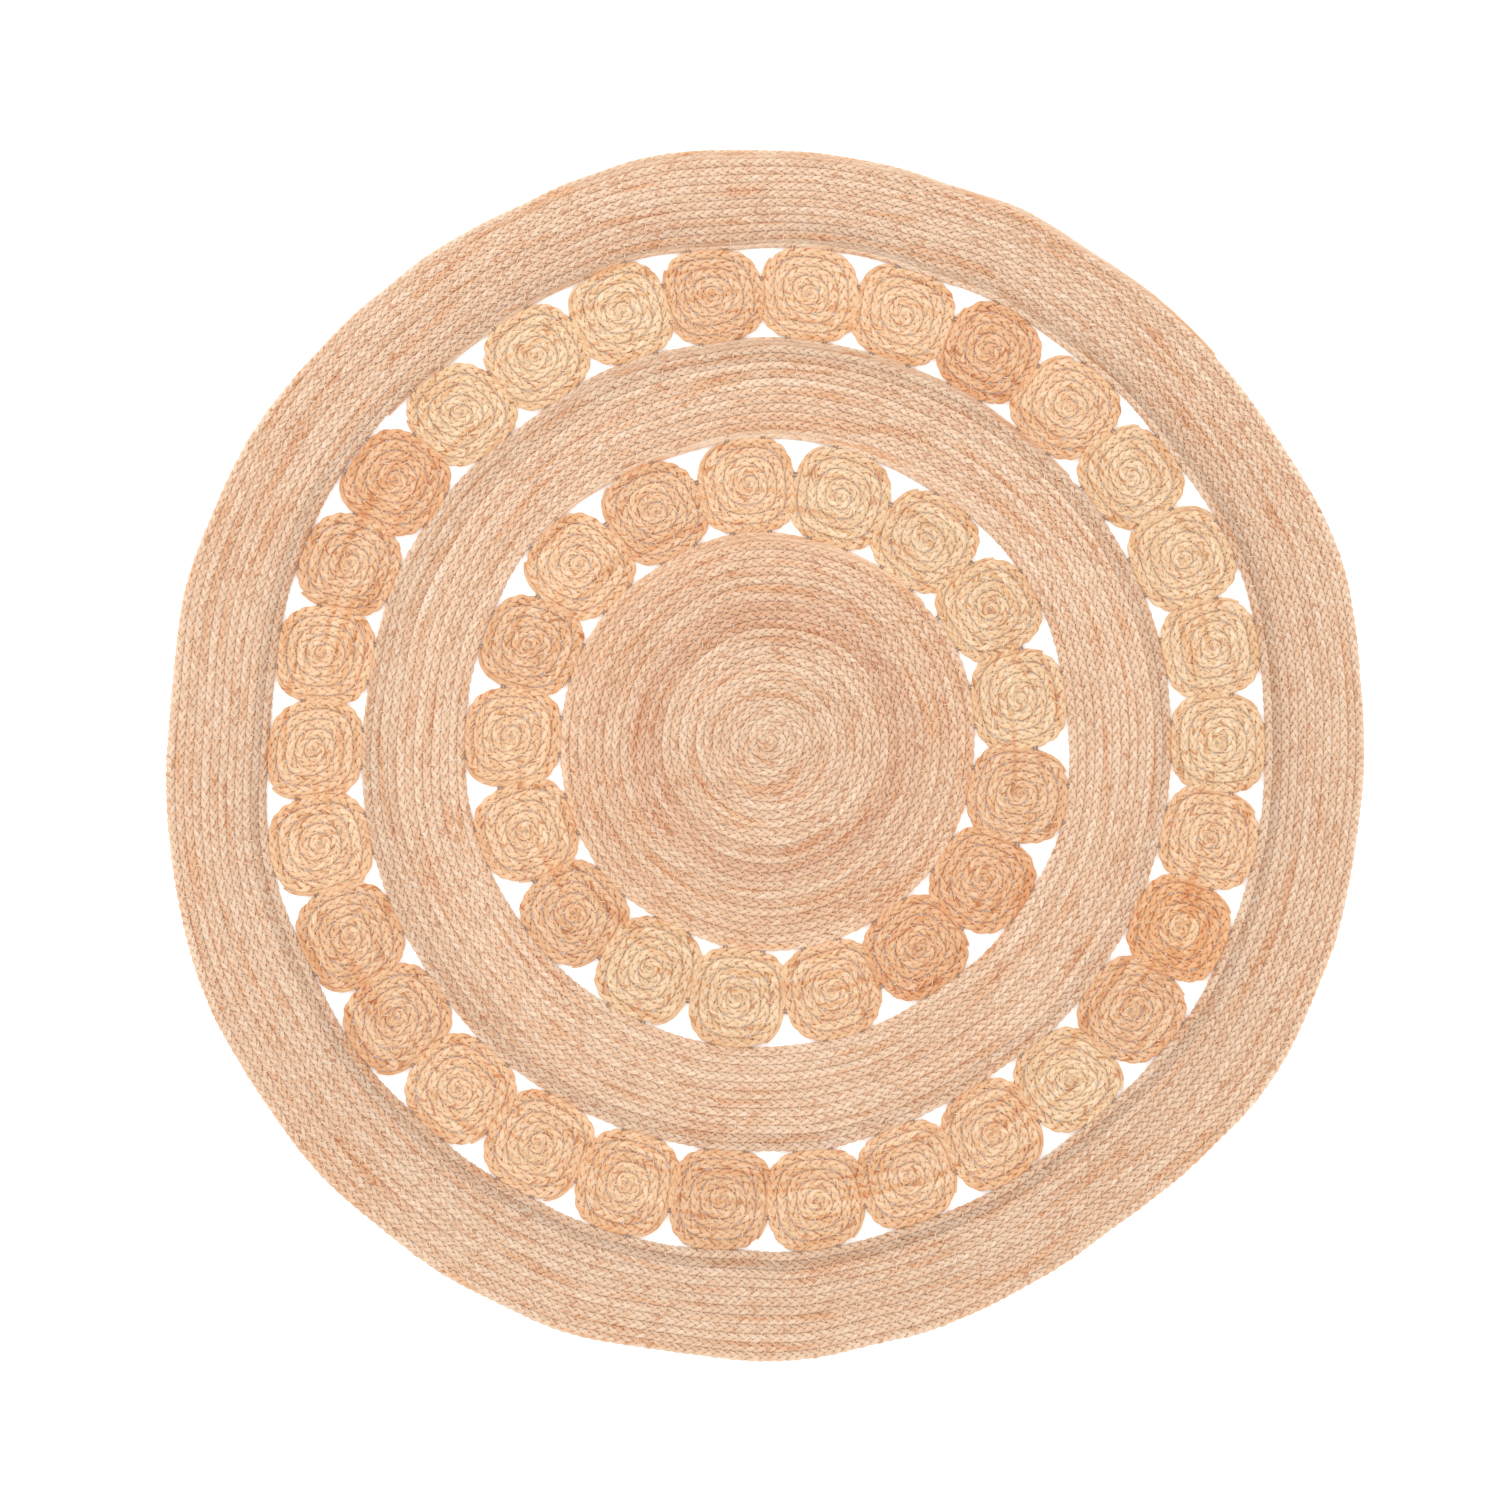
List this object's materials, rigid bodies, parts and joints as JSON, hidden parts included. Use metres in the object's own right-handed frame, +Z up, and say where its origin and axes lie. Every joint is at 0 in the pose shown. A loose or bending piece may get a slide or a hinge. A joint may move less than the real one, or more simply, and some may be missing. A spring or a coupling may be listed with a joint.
{
  "type": "area rug",
  "caption": "Round jute area rug: a coiled centre disc and two coiled bands, joined by two open rings of small coiled medallions.",
  "frame": {"origin": "middle of the flat underside, on the floor", "axes": "+Z up out of the floor; X and Y lie in the floor, and the rug looks alike in every direction"},
  "size_m": [1.204, 1.2037, 0.0072],
  "materials": {
    "jute_centre": "matte plaited jute, pale with brown rings",
    "jute_band": "matte plaited jute, pinkish beige",
    "jute_honey": "matte plaited jute, honey",
    "jute_amber": "matte plaited jute, amber brown",
    "jute_thread": "twisted jute sewing thread"
  },
  "bodies": {
    "root": {"centre_disc": "jute_centre", "middle_band": "jute_band", "outer_band": "jute_band", "inner_medallion_01": "jute_honey", "inner_medallion_02": "jute_honey", "inner_medallion_03": "jute_honey", "inner_medallion_04": "jute_honey", "inner_medallion_05": "jute_honey", "inner_medallion_06": "jute_honey", "inner_medallion_07": "jute_honey", "inner_medallion_08": "jute_honey", "inner_medallion_09": "jute_honey", "inner_medallion_10": "jute_honey", "inner_medallion_11": "jute_honey", "inner_medallion_12": "jute_honey", "inner_medallion_13": "jute_honey", "inner_medallion_14": "jute_honey", "inner_medallion_15": "jute_amber", "inner_medallion_16": "jute_amber", "inner_medallion_17": "jute_honey", "outer_medallion_01": "jute_honey", "outer_medallion_02": "jute_honey", "outer_medallion_03": "jute_honey", "outer_medallion_04": "jute_honey", "outer_medallion_05": "jute_honey", "outer_medallion_06": "jute_amber", "outer_medallion_07": "jute_honey", "outer_medallion_08": "jute_honey", "outer_medallion_09": "jute_honey", "outer_medallion_10": "jute_honey", "outer_medallion_11": "jute_honey", "outer_medallion_12": "jute_honey", "outer_medallion_13": "jute_amber", "outer_medallion_14": "jute_honey", "outer_medallion_15": "jute_honey", "outer_medallion_16": "jute_honey", "outer_medallion_17": "jute_honey", "outer_medallion_18": "jute_honey", "outer_medallion_19": "jute_honey", "outer_medallion_20": "jute_honey", "outer_medallion_21": "jute_honey", "outer_medallion_22": "jute_honey", "outer_medallion_23": "jute_honey", "outer_medallion_24": "jute_honey", "outer_medallion_25": "jute_honey", "outer_medallion_26": "jute_honey", "outer_medallion_27": "jute_honey", "outer_medallion_28": "jute_honey", "outer_medallion_29": "jute_amber", "outer_medallion_30": "jute_honey", "centre_disc_sewing": "jute_thread", "middle_band_sewing": "jute_thread", "outer_band_sewing": "jute_thread", "inner_medallion_sewing": "jute_thread", "outer_medallion_sewing": "jute_thread", "medallion_side_ties": "jute_thread", "centre_disc_ties": "jute_thread", "middle_band_inner_ties": "jute_thread", "middle_band_outer_ties": "jute_thread", "outer_band_ties": "jute_thread"}
  },
  "joints": []
}
